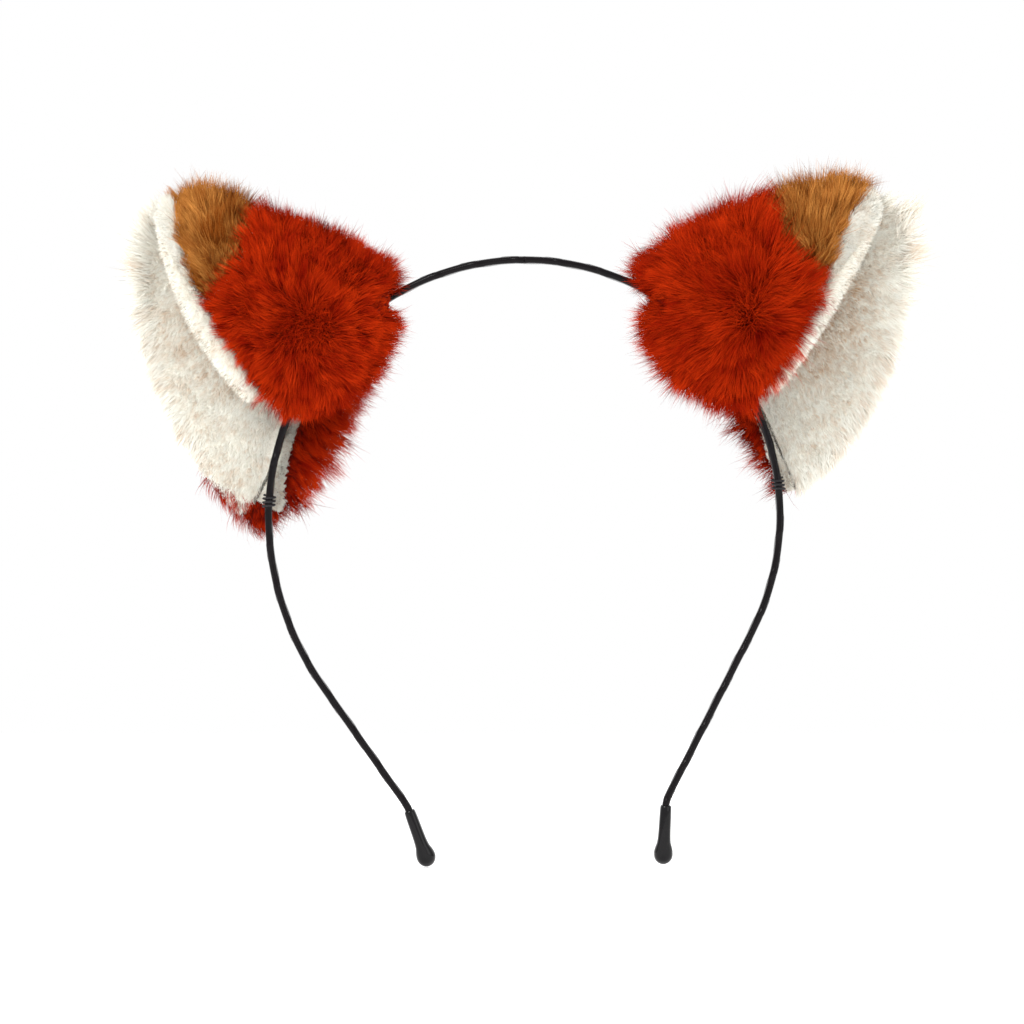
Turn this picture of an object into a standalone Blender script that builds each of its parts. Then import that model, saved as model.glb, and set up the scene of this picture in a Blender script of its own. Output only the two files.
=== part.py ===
"""Animal ears headband: a ribbon-wrapped spring strip with two folded plush ears.

Frame: origin on the head's side of the crown, +X to the wearer's left as seen
from the front, +Y to the back, +Z up. The band lies in the plane Y = 0, and an
ear's front flap is on its -Y side. Lengths are metres, written as a number
times MM; angles are degrees.
"""

import math

import bmesh
import bpy
import numpy as np

MM = 0.001

# Spring strip, ribbon wrap and the clearances round them
STRIP_THICKNESS = 0.8 * MM
STRIP_WIDTH = 5.0 * MM
WRAP_WALL = 0.3 * MM
WRAP_GAP = 0.25 * MM
WRAP_SIDE_GAP = 0.45 * MM
FLEX_GAP = 0.6 * MM
STATION_STEP = 3.5

# Course of the band's centre line, from the middle of the crown to each end
CROWN_RADIUS = 66.4 * MM
CROWN_HALF_ANGLE = 12.0
CROWN_FACETS = 7
ARMS = {
    "left": {"sign": -1, "curl_radius": 77 * MM, "lean": 35.2, "straight": 37.6 * MM, "flare": 15.2},
    "right": {"sign": 1, "curl_radius": 66 * MM, "lean": 27.0, "straight": 48.0 * MM, "flare": 24.0},
}
FLARE_RADIUS = 6.0 * MM

# Rubber cap on each end of the band
CAP_LENGTH = 15.5 * MM
CAP_NECK_WALL = 0.45 * MM
CAP_CLEARANCE = 0.3 * MM
CAP_RIBBON_DEPTH = 2.0 * MM
CAP_SOLID_END = 4.5 * MM
CAP_SLOT_GAP = 0.5 * MM
CAP_BULB_THICKNESS = 5.4 * MM
CAP_BULB_WIDTH = 7.4 * MM
CAP_BULB_REACH = 2.6 * MM
CAP_BULB_CENTRE = CAP_LENGTH - CAP_BULB_REACH
CAP_STRIP_DEPTH = CAP_LENGTH - CAP_SOLID_END

# Thread whipping that holds each ear to the wrapped strip
THREAD_RADIUS = 0.3 * MM
THREAD_GAP = 0.25 * MM
THREAD_PITCH = 1.0 * MM
THREAD_TURNS = 3

# Layers of an ear, from the hollow of the fold outwards
LINING_THICKNESS = 1.0 * MM
LAYER_GAP = 0.3 * MM
PADDING_EDGE = 0.6 * MM
FRONT_PUFF_SHARE = 0.1
BACK_PUFF_SHARE = 0.034
FUR_THICKNESS = 1.4 * MM
LIP_BEAD = 1.0 * MM
SEAM_RADIUS = 0.3 * MM

# Room inside the fold, and how far an ear turns about its stitches
EAR_SWIVEL = 12.0
STRIP_CLEARANCE = 0.9 * MM
TIP_HALF_GAP = 1.2 * MM
HOLLOW_FLARE = 3.0 * MM
HEM_TUCK = 0.5
TUCK_START = 2.0 * MM
TUCK_DEEP = 11.0 * MM

# How the ear's cloth is divided: u runs from the back flap's free edge (-1)
# over the spine (0) to the front lip (+1), v from the hem (0) to the tip (1)
FUR_FRONT_EDGE = 0.84
LIP_START = 0.865
LIP_AT_HEM = 0.93
PADDING_U = (-0.93, 0.78)
PADDING_TIP = 0.91
HEM_STEP = 0.03
HEM_DRAW = 0.75
SEAM_WIDTH = 0.011

# Each ear's outline, as (along, out) from its upper stitch: along the line to
# the lower stitch in shares of the base, and out from the head in shares of the
# height. The spine starts that much room above the upper stitch's thread. Seam
# and hem roll are places in v.
EARS = {
    "left": {
        "upper_stitch": 34.0, "base": 59.0 * MM, "height": 60.3 * MM,
        "seam": 0.58, "hem_roll": 0.1,
        "stitch_room": 3.0 * MM,
        "hem_rise": 0.028, "spine": [(-0.022, 0.599), (0.134, 1.0)],
        "lip": [(0.678, 0.166), (0.602, 0.68), (0.171, 1.003)],
        "back_edge": [(1.137, -0.02), (1.027, 0.488), (0.656, 0.894), (0.202, 1.056)],
        "front_hem": (0.268, -0.26), "back_hem": (0.734, -0.182),
    },
    "right": {
        "upper_stitch": 33.0, "base": 56.0 * MM, "height": 59.0 * MM,
        "seam": 0.55, "hem_roll": 0.05,
        "stitch_room": 3.9 * MM,
        "hem_rise": 0.0, "spine": [(-0.118, 0.508), (0.141, 1.0)],
        "lip": [(0.646, 0.139), (0.484, 0.641), (0.188, 1.003)],
        "back_edge": [(1.064, 0.025), (1.077, 0.434), (0.702, 0.905), (0.232, 1.122)],
        "front_hem": (0.348, -0.246), "back_hem": (0.525, 0.064),
    },
}

WRAP_HALF_THICKNESS = STRIP_THICKNESS / 2 + WRAP_GAP + WRAP_WALL
WRAP_HALF_WIDTH = STRIP_WIDTH / 2 + WRAP_SIDE_GAP + WRAP_WALL
FACET_HALF_ANGLE = math.radians(CROWN_HALF_ANGLE / CROWN_FACETS)
# The middle facet of the crown's inner face lies exactly on Z = 0
CROWN_CENTRE_Z = -(CROWN_RADIUS - WRAP_HALF_THICKNESS) * math.cos(FACET_HALF_ANGLE)


def clear_scene():
    for old in list(bpy.data.objects):
        bpy.data.objects.remove(old, do_unlink=True)


def finish(name, colour, roughness, metallic=0.0):
    material = bpy.data.materials.new(name)
    material.use_nodes = True
    shader = material.node_tree.nodes["Principled BSDF"]
    shader.inputs["Base Color"].default_value = (*colour, 1.0)
    shader.inputs["Roughness"].default_value = roughness
    shader.inputs["Metallic"].default_value = metallic
    return material


def add_object(name, vertices, faces, material, smooth_angle=40.0):
    """Make one closed object from points and faces, its faces turned outwards."""
    mesh = bpy.data.meshes.new(name)
    mesh.from_pydata([tuple(v) for v in vertices], [], faces)
    work = bmesh.new()
    work.from_mesh(mesh)
    bmesh.ops.recalc_face_normals(work, faces=work.faces)
    work.to_mesh(mesh)
    work.free()
    mesh.shade_smooth()
    mesh.set_sharp_from_angle(angle=math.radians(smooth_angle))
    mesh.materials.append(material)
    piece = bpy.data.objects.new(name, mesh)
    bpy.context.scene.collection.objects.link(piece)
    return piece


def loft(rings, closed=False):
    """Join rings of points in order: end faces on a rod, none on a closed tube."""
    count = len(rings[0])
    vertices = [point for ring in rings for point in ring]
    faces = []
    spans = len(rings) if closed else len(rings) - 1
    for i in range(spans):
        near = i * count
        far = (i + 1) % len(rings) * count
        for k in range(count):
            after = (k + 1) % count
            faces.append((near + k, near + after, far + after, far + k))
    if not closed:
        faces.append(tuple(range(count)))
        faces.append(tuple(range(len(vertices) - count, len(vertices))))
    return vertices, faces


# ---------------------------------------------------------------- band course

def arm_course(side):
    """The arm's stretches as (length, radius), radius None for a straight one."""
    arm = ARMS[side]
    quarter = CROWN_RADIUS * math.pi / 2
    curl = arm["curl_radius"] * math.radians(arm["lean"])
    flare = FLARE_RADIUS * math.radians(arm["flare"])
    return [
        (quarter, CROWN_RADIUS),
        (curl, arm["curl_radius"]),
        (arm["straight"], None),
        (flare, -FLARE_RADIUS),
        (CAP_STRIP_DEPTH, None),
    ]


def station(side, distance):
    """Centre and outward normal, in X and Z, at a distance from the crown's middle."""
    sign = ARMS[side]["sign"]
    heading = 0.0
    x = 0.0
    z = CROWN_CENTRE_Z + CROWN_RADIUS
    for length, radius in arm_course(side):
        step = min(length, distance)
        if radius is None:
            x += step * math.cos(heading)
            z -= step * math.sin(heading)
        else:
            turned = heading + step / radius
            x += radius * (math.sin(turned) - math.sin(heading))
            z += radius * (math.cos(turned) - math.cos(heading))
            heading = turned
        distance -= step
        if distance <= 0:
            break
    centre = np.array([sign * x, 0.0, z])
    normal = np.array([sign * math.sin(heading), 0.0, math.cos(heading)])
    return centre, normal


def arm_stations(side, first, last):
    """Stations from one distance to another, closer together where the band bends."""
    distances = [first]
    start = 0.0
    for length, radius in arm_course(side):
        low = max(first, start)
        high = min(last, start + length)
        if high - low > 1e-6:
            parts = 1
            if radius is not None:
                bend = math.degrees((high - low) / abs(radius))
                parts = max(2, round(bend / STATION_STEP))
            distances += [low + (high - low) * (i + 1) / parts for i in range(parts)]
        start += length
    return [station(side, d) for d in distances]


def crown_stations(half_angle):
    angles = np.radians(np.linspace(-half_angle, half_angle, CROWN_FACETS + 1))
    result = []
    for angle in angles:
        normal = np.array([math.sin(angle), 0.0, math.cos(angle)])
        centre = np.array([0.0, 0.0, CROWN_CENTRE_Z]) + CROWN_RADIUS * normal
        result.append((centre, normal))
    return result


def flat_oval(half_thickness, half_width, points=12):
    """A flat bar's outline with round edges, as (across, along Y) pairs."""
    straight = half_width - half_thickness
    half = points // 2
    outline = []
    for end in (1, -1):
        for k in range(half):
            angle = math.pi * (k + 0.5) / half
            across = half_thickness * math.cos(angle) * end
            outline.append((across, end * (straight + half_thickness * math.sin(angle))))
    return outline


def oblong(half_thickness, half_width):
    return [(half_thickness, half_width), (-half_thickness, half_width),
            (-half_thickness, -half_width), (half_thickness, -half_width)]


def ring_at(centre, normal, outline):
    return [centre + normal * across + np.array([0.0, along, 0.0]) for across, along in outline]


def make_strip(name, stations, material):
    outline = oblong(STRIP_THICKNESS / 2, STRIP_WIDTH / 2)
    rings = [ring_at(c, n, outline) for c, n in stations]
    add_object(name, *loft(rings), material)


def make_wrap(name, stations, material):
    outer = flat_oval(WRAP_HALF_THICKNESS, WRAP_HALF_WIDTH)
    inner = flat_oval(WRAP_HALF_THICKNESS - WRAP_WALL, WRAP_HALF_WIDTH - WRAP_WALL)
    rings = [ring_at(c, n, outer) for c, n in stations]
    rings += [ring_at(c, n, inner) for c, n in reversed(stations)]
    add_object(name, *loft(rings, closed=True), material)


def crown_end():
    return CROWN_RADIUS * math.radians(CROWN_HALF_ANGLE)


def cap_mouth(side):
    return sum(length for length, radius in arm_course(side)[:-1])


def make_band(steel, ribbon):
    make_strip("spring_strip_crown", crown_stations(CROWN_HALF_ANGLE), steel)
    make_wrap("ribbon_wrap_crown", crown_stations(CROWN_HALF_ANGLE), ribbon)
    for side in ARMS:
        start = crown_end() + FLEX_GAP
        mouth = cap_mouth(side)
        strip_end = mouth + CAP_STRIP_DEPTH
        wrap_end = mouth + CAP_RIBBON_DEPTH - CAP_CLEARANCE
        make_strip("spring_strip_" + side, arm_stations(side, start, strip_end), steel)
        make_wrap("ribbon_wrap_" + side, arm_stations(side, start, wrap_end), ribbon)


# ------------------------------------------------------------------- end caps

def cap_profile():
    """Outer half thickness and half width of a cap at each distance from its mouth."""
    neck = WRAP_HALF_THICKNESS + CAP_CLEARANCE + CAP_NECK_WALL
    neck_wide = WRAP_HALF_WIDTH + CAP_CLEARANCE + CAP_NECK_WALL
    bulb = CAP_BULB_THICKNESS / 2
    bulb_wide = CAP_BULB_WIDTH / 2
    rise = CAP_BULB_CENTRE - bulb * 1.3
    profile = [(0.0, neck, neck_wide), (rise, neck, neck_wide)]
    for part in (0.35, 0.7, 1.0):
        blend = math.sin(part * math.pi / 2)
        along = rise + (CAP_BULB_CENTRE - rise) * part
        profile.append((along, neck + (bulb - neck) * blend, neck_wide + (bulb_wide - neck_wide) * blend))
    for part in (0.4, 0.7, 0.9, 0.985):
        shrink = math.sqrt(1 - part * part)
        along = CAP_BULB_CENTRE + CAP_BULB_REACH * part
        flat = bulb_wide - bulb
        profile.append((along, bulb * shrink, bulb * shrink + flat * shrink))
    return profile


def make_cap(side, rubber):
    centre, normal = station(side, cap_mouth(side) + CAP_STRIP_DEPTH)
    mouth, _ = station(side, cap_mouth(side))
    axis = (centre - mouth) / np.linalg.norm(centre - mouth)
    slot = (STRIP_THICKNESS / 2 + CAP_SLOT_GAP, STRIP_WIDTH / 2 + CAP_SLOT_GAP)
    socket = (WRAP_HALF_THICKNESS + CAP_CLEARANCE, WRAP_HALF_WIDTH + CAP_CLEARANCE)
    inside = [
        (CAP_STRIP_DEPTH + CAP_CLEARANCE, *slot),
        (CAP_RIBBON_DEPTH, *slot),
        (CAP_RIBBON_DEPTH, *socket),
        (0.0, *socket),
    ]
    rings = [ring_at(mouth + axis * s, normal, flat_oval(t, w)) for s, t, w in inside]
    rings += [ring_at(mouth + axis * s, normal, flat_oval(t, w)) for s, t, w in cap_profile()]
    add_object("end_cap_" + side, *loft(rings), rubber)


# ----------------------------------------------------------------- ear layout

def stitch_distances(side):
    """Where the upper and the lower stitches lie along the band."""
    upper = CROWN_RADIUS * math.radians(EARS[side]["upper_stitch"])
    start, _ = station(side, upper)
    low = upper
    high = cap_mouth(side)
    for _ in range(40):
        middle = (low + high) / 2
        point, _ = station(side, middle)
        if np.linalg.norm(point - start) < EARS[side]["base"]:
            low = middle
        else:
            high = middle
    return upper, low


def ear_axes(side):
    """Upper stitch, direction to the lower stitch, and direction out from the head."""
    upper, lower = stitch_distances(side)
    start, _ = station(side, upper)
    end, _ = station(side, lower)
    along = (end - start) / np.linalg.norm(end - start)
    out = np.array([-along[2], 0.0, along[0]]) * ARMS[side]["sign"]
    return start, along, out


def base_half_gap(side):
    """Half the fold's width over the strip, so that the ear can turn without touching."""
    upper, lower = stitch_distances(side)
    middle, _ = station(side, (upper + lower) / 2)
    start, along, out = ear_axes(side)
    rise = float((middle - start) @ out)
    return WRAP_HALF_WIDTH + rise * math.sin(math.radians(EAR_SWIVEL)) + STRIP_CLEARANCE


def bezier(points, t):
    """A point on the curve that a few hand-set points shape."""
    points = [np.array(p, dtype=float) for p in points]
    while len(points) > 1:
        points = [a * (1 - t) + b * t for a, b in zip(points[:-1], points[1:])]
    return points[0]


def spine_curve(ear):
    """The fold's line, from clear of the upper stitch's thread to the tip."""
    thread_reach = THREAD_PITCH * THREAD_TURNS / 2 + THREAD_RADIUS
    start = -(thread_reach + ear["stitch_room"]) / ear["base"]
    return [(start, ear["hem_rise"])] + ear["spine"]


def flap_plan(ear, front, w, v):
    """A flap's place seen from the front, (along, out) from the upper stitch."""
    edge_curve = ear["lip"] if front else ear["back_edge"]
    hem_bow = ear["front_hem"] if front else ear["back_hem"]
    fold = spine_curve(ear)
    spine = bezier(fold, v)
    edge = bezier(edge_curve, v)
    hem = bezier([fold[0], hem_bow, edge_curve[0]], w)
    tip = bezier([fold[-1], edge_curve[-1]], w)
    corners = [np.array(p, dtype=float) for p in
               (fold[0], edge_curve[0], fold[-1], edge_curve[-1])]
    bilinear = ((1 - w) * (1 - v) * corners[0] + w * (1 - v) * corners[1]
                + (1 - w) * v * corners[2] + w * v * corners[3])
    place = (1 - w) * spine + w * edge + (1 - v) * hem + v * tip - bilinear
    return place * np.array([ear["base"], ear["height"]])


def smooth_step(low, high, value):
    t = min(max((value - low) / (high - low), 0.0), 1.0)
    return t * t * (3 - 2 * t)


def front_share(u, v):
    """How far across the front flap u lies: the lip narrows towards the hem."""
    lip = LIP_AT_HEM + (FUR_FRONT_EDGE - LIP_AT_HEM) * smooth_step(0.0, 0.6, v)
    if u < FUR_FRONT_EDGE:
        return u / FUR_FRONT_EDGE * lip
    return lip + (u - FUR_FRONT_EDGE) / (1 - FUR_FRONT_EDGE) * (1 - lip)


def drawn_to_hem(u, v):
    """The turned-in hem narrows towards the back flap's free edge."""
    pull = HEM_DRAW * smooth_step(0.55, 1.0, -u)
    return v * (1 - pull * max(0.0, 1 - v / 0.4))


class Ear:
    """One ear's inner surface, from which its layers are measured outwards."""

    def __init__(self, side):
        self.side = side
        self.shape = EARS[side]
        self.start, self.along, self.out = ear_axes(side)
        self.half_gap = base_half_gap(side)

    def inner(self, u, v):
        front = u > 0
        v = drawn_to_hem(u, v)
        w = front_share(u, v) if front else -u
        spine = flap_plan(self.shape, front, 0.0, v)
        edge = flap_plan(self.shape, front, 1.0, v)
        width = np.linalg.norm(edge - spine)
        gap = TIP_HALF_GAP + (self.half_gap - TIP_HALF_GAP) * (1 - smooth_step(0.3, 1.0, v))
        run = w * (width - gap + gap * math.pi / 2)
        if run < gap * math.pi / 2:
            reach = gap * (1 - math.cos(run / gap))
            depth = gap * math.sin(run / gap)
        else:
            reach = run - gap * (math.pi / 2 - 1)
            depth = gap
        share = reach / width
        depth += HOLLOW_FLARE * share ** 2 * smooth_step(0.0, 0.4, v) * smooth_step(1.0, 0.6, v)
        plan = flap_plan(self.shape, front, share, v)
        if front:
            depth *= HEM_TUCK + (1 - HEM_TUCK) * smooth_step(-TUCK_DEEP, -TUCK_START, plan[1])
        place = self.start + self.along * plan[0] + self.out * plan[1]
        return place + np.array([0.0, -depth if front else depth, 0.0])

    def normal(self, u, v):
        """Unit normal pointing out of the fold."""
        step = 0.004
        u_low, u_high = max(u - step, -1.0), min(u + step, 1.0)
        v_low, v_high = max(v - step, 0.0), min(v + step, 1.0)
        by_u = self.inner(u_high, v) - self.inner(u_low, v)
        by_v = self.inner(u, v_high) - self.inner(u, v_low)
        cross = np.cross(by_u, by_v) * ARMS[self.side]["sign"]
        return cross / np.linalg.norm(cross)

    def at(self, u, v, offset):
        return self.inner(u, v) + self.normal(u, v) * offset


def lobe(value, centre, half_width):
    reach = min(abs(value - centre) / half_width, 1.0)
    return math.cos(reach * math.pi / 2) ** 1.2


def lining_bottom(ear, u, v):
    return 0.0


def lining_top(ear, u, v):
    """The lining is one cloth thick, and rolls into a bead over the front lip."""
    if u < LIP_START - 1e-6:
        return LINING_THICKNESS
    bead = LIP_BEAD * math.sin(math.pi * (1 - u) / (1 - LIP_START))
    return fur_top(ear, FUR_FRONT_EDGE, v) + bead


def padding_bottom(ear, u, v):
    return LINING_THICKNESS + LAYER_GAP


def padding_top(ear, u, v):
    """The padding is thickest down the middle of each flap."""
    rise = math.sqrt(max(4 * v * (1 - v), 0.0))
    front = FRONT_PUFF_SHARE * lobe(u, 0.40, 0.48)
    back = BACK_PUFF_SHARE * lobe(u, -0.45, 0.55)
    puff = (front + back) * rise * ear.shape["base"]
    return padding_bottom(ear, u, v) + PADDING_EDGE + puff


def fur_back(ear, u, v):
    return padding_top(ear, u, v) + LAYER_GAP


def fur_bottom(ear, u, v):
    """The fur cloth lies behind the padding, and is turned in along the hem."""
    if v < ear.shape["hem_roll"] + 1e-6:
        return 0.0
    return fur_back(ear, u, v)


def fur_top(ear, u, v):
    return fur_back(ear, u, v) + FUR_THICKNESS


def lines_between(marks, counts):
    lines = [marks[0]]
    for low, high, count in zip(marks[:-1], marks[1:], counts):
        lines += [low + (high - low) * (i + 1) / count for i in range(count)]
    return lines


def u_lines():
    marks = [-1.0, PADDING_U[0], -0.22, 0.22, PADDING_U[1], FUR_FRONT_EDGE, LIP_START, 1.0]
    return lines_between(marks, [1, 6, 6, 6, 1, 1, 3])


def v_lines(side):
    seam = EARS[side]["seam"]
    roll = EARS[side]["hem_roll"]
    marks = [0.0, roll, roll + HEM_STEP, roll + 2 * HEM_STEP,
             seam - SEAM_WIDTH, seam + SEAM_WIDTH, PADDING_TIP, 1.0]
    return lines_between(marks, [2, 1, 1, 5, 1, 4, 1])


def cloth_layer(name, ear, u_range, v_range, bottom, top, material):
    """One closed layer of cloth between two offsets from the fold's inner surface."""
    within = 1e-6
    us = [u for u in u_lines() if u_range[0] - within <= u <= u_range[1] + within]
    vs = [v for v in v_lines(ear.side) if v_range[0] - within <= v <= v_range[1] + within]
    vertices = []
    for offset in (bottom, top):
        vertices += [ear.at(u, v, offset(ear, u, v)) for u in us for v in vs]
    rows, columns = len(us), len(vs)
    sheet = rows * columns
    faces = []
    for i in range(rows - 1):
        for j in range(columns - 1):
            low = i * columns + j
            quad = (low, low + 1, low + columns + 1, low + columns)
            faces.append(quad)
            faces.append(tuple(sheet + k for k in reversed(quad)))
    rim = list(range(columns))
    rim += [i * columns + columns - 1 for i in range(1, rows)]
    rim += [(rows - 1) * columns + j for j in range(columns - 2, -1, -1)]
    rim += [i * columns for i in range(rows - 2, 0, -1)]
    for here, after in zip(rim, rim[1:] + rim[:1]):
        faces.append((here, here + sheet, after + sheet, after))
    add_object(name, vertices, faces, material, smooth_angle=60.0)


def thread_tube(name, points, radius, material, sides=6):
    """A closed round thread through a list of points."""
    rings = []
    for i, point in enumerate(points):
        ahead = points[min(i + 1, len(points) - 1)] - points[max(i - 1, 0)]
        ahead = ahead / np.linalg.norm(ahead)
        across = np.cross(ahead, np.array([0.0, 1.0, 0.03]))
        across = across / np.linalg.norm(across)
        third = np.cross(ahead, across)
        angles = [2 * math.pi * k / sides for k in range(sides)]
        rings.append([point + (across * math.cos(a) + third * math.sin(a)) * radius for a in angles])
    add_object(name, *loft(rings), material)


def make_ear(side, fur, tip_fur, lining, padding, thread):
    ear = Ear(side)
    seam = ear.shape["seam"]
    lining_hem = ear.shape["hem_roll"] + HEM_STEP
    cloth_layer("ear_lining_" + side, ear, (-1.0, 1.0), (lining_hem, 1.0),
                lining_bottom, lining_top, lining)
    cloth_layer("ear_padding_" + side, ear, PADDING_U, (lining_hem + HEM_STEP, PADDING_TIP),
                padding_bottom, padding_top, padding)
    cloth_layer("ear_fur_" + side, ear, (-1.0, FUR_FRONT_EDGE), (0.0, seam - SEAM_WIDTH),
                fur_bottom, fur_top, fur)
    cloth_layer("ear_tip_fur_" + side, ear, (-1.0, FUR_FRONT_EDGE), (seam + SEAM_WIDTH, 1.0),
                fur_back, fur_top, tip_fur)
    run = [u for u in u_lines() if -1.0 < u < FUR_FRONT_EDGE]
    points = [ear.at(u, seam, fur_top(ear, u, seam) - SEAM_RADIUS) for u in run]
    thread_tube("tip_seam_" + side, points, SEAM_RADIUS, thread)


def make_stitches(side, thread):
    """Whip each end of the ear's base to the band with a few turns of thread."""
    reach = THREAD_GAP + THREAD_RADIUS
    outline = flat_oval(WRAP_HALF_THICKNESS + reach, WRAP_HALF_WIDTH + reach)
    for place, distance in zip(("upper", "lower"), stitch_distances(side)):
        steps = THREAD_TURNS * len(outline)
        points = []
        for k in range(steps + 1):
            shift = THREAD_PITCH * (k - steps / 2) / len(outline)
            centre, normal = station(side, distance + shift)
            across, along = outline[k % len(outline)]
            points.append(centre + normal * across + np.array([0.0, along, 0.0]))
        coil_thread("ear_stitch_" + side + "_" + place, points, station(side, distance)[0], thread)


def coil_thread(name, points, middle, material, sides=6):
    """A round thread wound about a middle point, each ring facing along the winding."""
    rings = []
    for i, point in enumerate(points):
        ahead = points[min(i + 1, len(points) - 1)] - points[max(i - 1, 0)]
        ahead = ahead / np.linalg.norm(ahead)
        away = point - middle
        away = away - ahead * float(away @ ahead)
        away = away / np.linalg.norm(away)
        side_way = np.cross(ahead, away)
        angles = [2 * math.pi * k / sides for k in range(sides)]
        rings.append([point + (away * math.cos(a) + side_way * math.sin(a)) * THREAD_RADIUS
                      for a in angles])
    add_object(name, *loft(rings), material)


clear_scene()
spring_steel = finish("spring_steel", (0.42, 0.43, 0.45), 0.35, 1.0)
black_ribbon = finish("black_ribbon", (0.012, 0.010, 0.012), 0.42)
black_rubber = finish("black_rubber", (0.012, 0.010, 0.012), 0.25)
rust_fur = finish("rust_fur", (0.36, 0.035, 0.006), 0.85)
brown_fur = finish("brown_fur", (0.38, 0.14, 0.03), 0.85)
cream_plush = finish("cream_plush", (0.80, 0.76, 0.66), 0.9)
white_padding = finish("white_padding", (0.75, 0.75, 0.73), 0.95)
dark_thread = finish("dark_thread", (0.03, 0.03, 0.03), 0.6)
brown_thread = finish("brown_thread", (0.20, 0.06, 0.02), 0.6)

make_band(spring_steel, black_ribbon)
for ear_side in EARS:
    make_cap(ear_side, black_rubber)
    make_stitches(ear_side, dark_thread)
    make_ear(ear_side, rust_fur, brown_fur, cream_plush, white_padding, brown_thread)
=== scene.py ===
"""A pair of furry animal ears on a springy headband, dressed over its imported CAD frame."""

import math

import bmesh
import bpy
import numpy as np
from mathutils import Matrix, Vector
from mathutils.bvhtree import BVHTree
from mathutils.kdtree import KDTree


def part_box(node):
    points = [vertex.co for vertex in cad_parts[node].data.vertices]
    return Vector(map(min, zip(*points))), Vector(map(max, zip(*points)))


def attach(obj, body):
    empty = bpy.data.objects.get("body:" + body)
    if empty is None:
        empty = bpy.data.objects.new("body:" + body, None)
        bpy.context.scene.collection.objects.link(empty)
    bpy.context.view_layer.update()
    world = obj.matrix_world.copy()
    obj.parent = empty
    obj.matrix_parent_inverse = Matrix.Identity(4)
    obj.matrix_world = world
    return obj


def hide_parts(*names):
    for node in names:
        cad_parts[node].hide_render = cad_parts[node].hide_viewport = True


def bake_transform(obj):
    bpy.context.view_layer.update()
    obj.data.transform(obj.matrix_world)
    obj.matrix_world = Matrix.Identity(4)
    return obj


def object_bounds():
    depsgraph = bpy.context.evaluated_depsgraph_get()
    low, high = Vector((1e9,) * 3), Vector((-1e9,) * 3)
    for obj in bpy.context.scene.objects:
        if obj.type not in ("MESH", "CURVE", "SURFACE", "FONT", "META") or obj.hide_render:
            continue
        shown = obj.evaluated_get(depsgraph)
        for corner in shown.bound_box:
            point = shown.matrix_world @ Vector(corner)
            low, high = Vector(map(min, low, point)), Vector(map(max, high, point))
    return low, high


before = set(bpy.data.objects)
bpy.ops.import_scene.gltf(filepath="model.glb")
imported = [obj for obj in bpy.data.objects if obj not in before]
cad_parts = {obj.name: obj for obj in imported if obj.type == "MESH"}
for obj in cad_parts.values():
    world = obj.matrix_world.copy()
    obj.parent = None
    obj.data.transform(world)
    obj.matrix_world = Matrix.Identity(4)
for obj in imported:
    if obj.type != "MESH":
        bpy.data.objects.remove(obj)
cad_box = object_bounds()
MM = 0.001
SIDES = {"left": -1, "right": 1}


# ---------------------------------------------------------------- table and light
# The headband stands on its two end caps on a white table in a bright room, under
# broad soft lamps, and is seen straight from the front.

lowest, highest = cad_box
middle_x, middle_z = (lowest.x + highest.x) / 2, (lowest.z + highest.z) / 2
view_height = 266 * MM
view_distance = 2.5
view_aside, view_raise = 3.3 * MM, 4.5 * MM
floor_gap = 0.2 * MM
floor_half = 1.5
floor_glow = 0.35
lamps = (("window_lamp", (-0.55, -0.9, 0.65), 0.5, 8),
         ("fill_lamp", (0.9, -0.8, 0.25), 0.7, 2),
         ("back_lamp", (0.1, 0.7, 0.8), 0.5, 3))

camera_data = bpy.data.cameras.new("front_view")
camera_data.sensor_width = 36
camera_data.lens = camera_data.sensor_width * view_distance / view_height
camera_data.clip_start, camera_data.clip_end = 0.05, 20
camera = bpy.data.objects.new("front_view", camera_data)
camera.location = (middle_x - view_aside, -view_distance, middle_z + view_raise)
camera.rotation_euler = (math.pi / 2, 0, 0)
bpy.context.scene.collection.objects.link(camera)
bpy.context.scene.camera = camera
bpy.context.scene.view_settings.view_transform = "Standard"


def new_material(name, roughness, specular=0.5):
    """An empty node material and its shader."""
    material = bpy.data.materials.new(name)
    material.use_nodes = True
    shader = material.node_tree.nodes["Principled BSDF"]
    shader.inputs["Roughness"].default_value = roughness
    shader.inputs["Specular IOR Level"].default_value = specular
    return material, shader


def add_mesh(name, vertices, faces, material):
    """A new piece from plain vertices and faces."""
    mesh = bpy.data.meshes.new(name)
    mesh.from_pydata([tuple(v) for v in vertices], [], faces)
    mesh.materials.append(material)
    mesh.update()
    piece = bpy.data.objects.new(name, mesh)
    bpy.context.scene.collection.objects.link(piece)
    return piece


floor_paint, floor_shader = new_material("white_table", 0.9, 0.0)
floor_shader.inputs["Base Color"].default_value = (0.95, 0.95, 0.95, 1)
floor_shader.inputs["Emission Color"].default_value = (1, 1, 1, 1)
floor_shader.inputs["Emission Strength"].default_value = floor_glow
floor_corners = [(x * floor_half, y * floor_half, lowest.z - floor_gap)
                 for x, y in ((-1, -1), (1, -1), (1, 1), (-1, 1))]
floor = add_mesh("white_table", floor_corners, [(0, 1, 2, 3)], floor_paint)

sky = bpy.data.worlds.new("soft_room")
sky.use_nodes = True
sky.node_tree.nodes["Background"].inputs["Color"].default_value = (1, 1, 1, 1)
sky.node_tree.nodes["Background"].inputs["Strength"].default_value = 1.0
bpy.context.scene.world = sky

aim_point = Vector((0, 0, lowest.z / 2))
for name, place, size, watts in lamps:
    lamp_data = bpy.data.lights.new(name, "AREA")
    lamp_data.size = size
    lamp_data.energy = watts
    lamp = bpy.data.objects.new(name, lamp_data)
    lamp.location = place
    lamp.rotation_mode = "QUATERNION"
    lamp.rotation_quaternion = (aim_point - Vector(place)).to_track_quat("-Z", "Y")
    bpy.context.scene.collection.objects.link(lamp)


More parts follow.
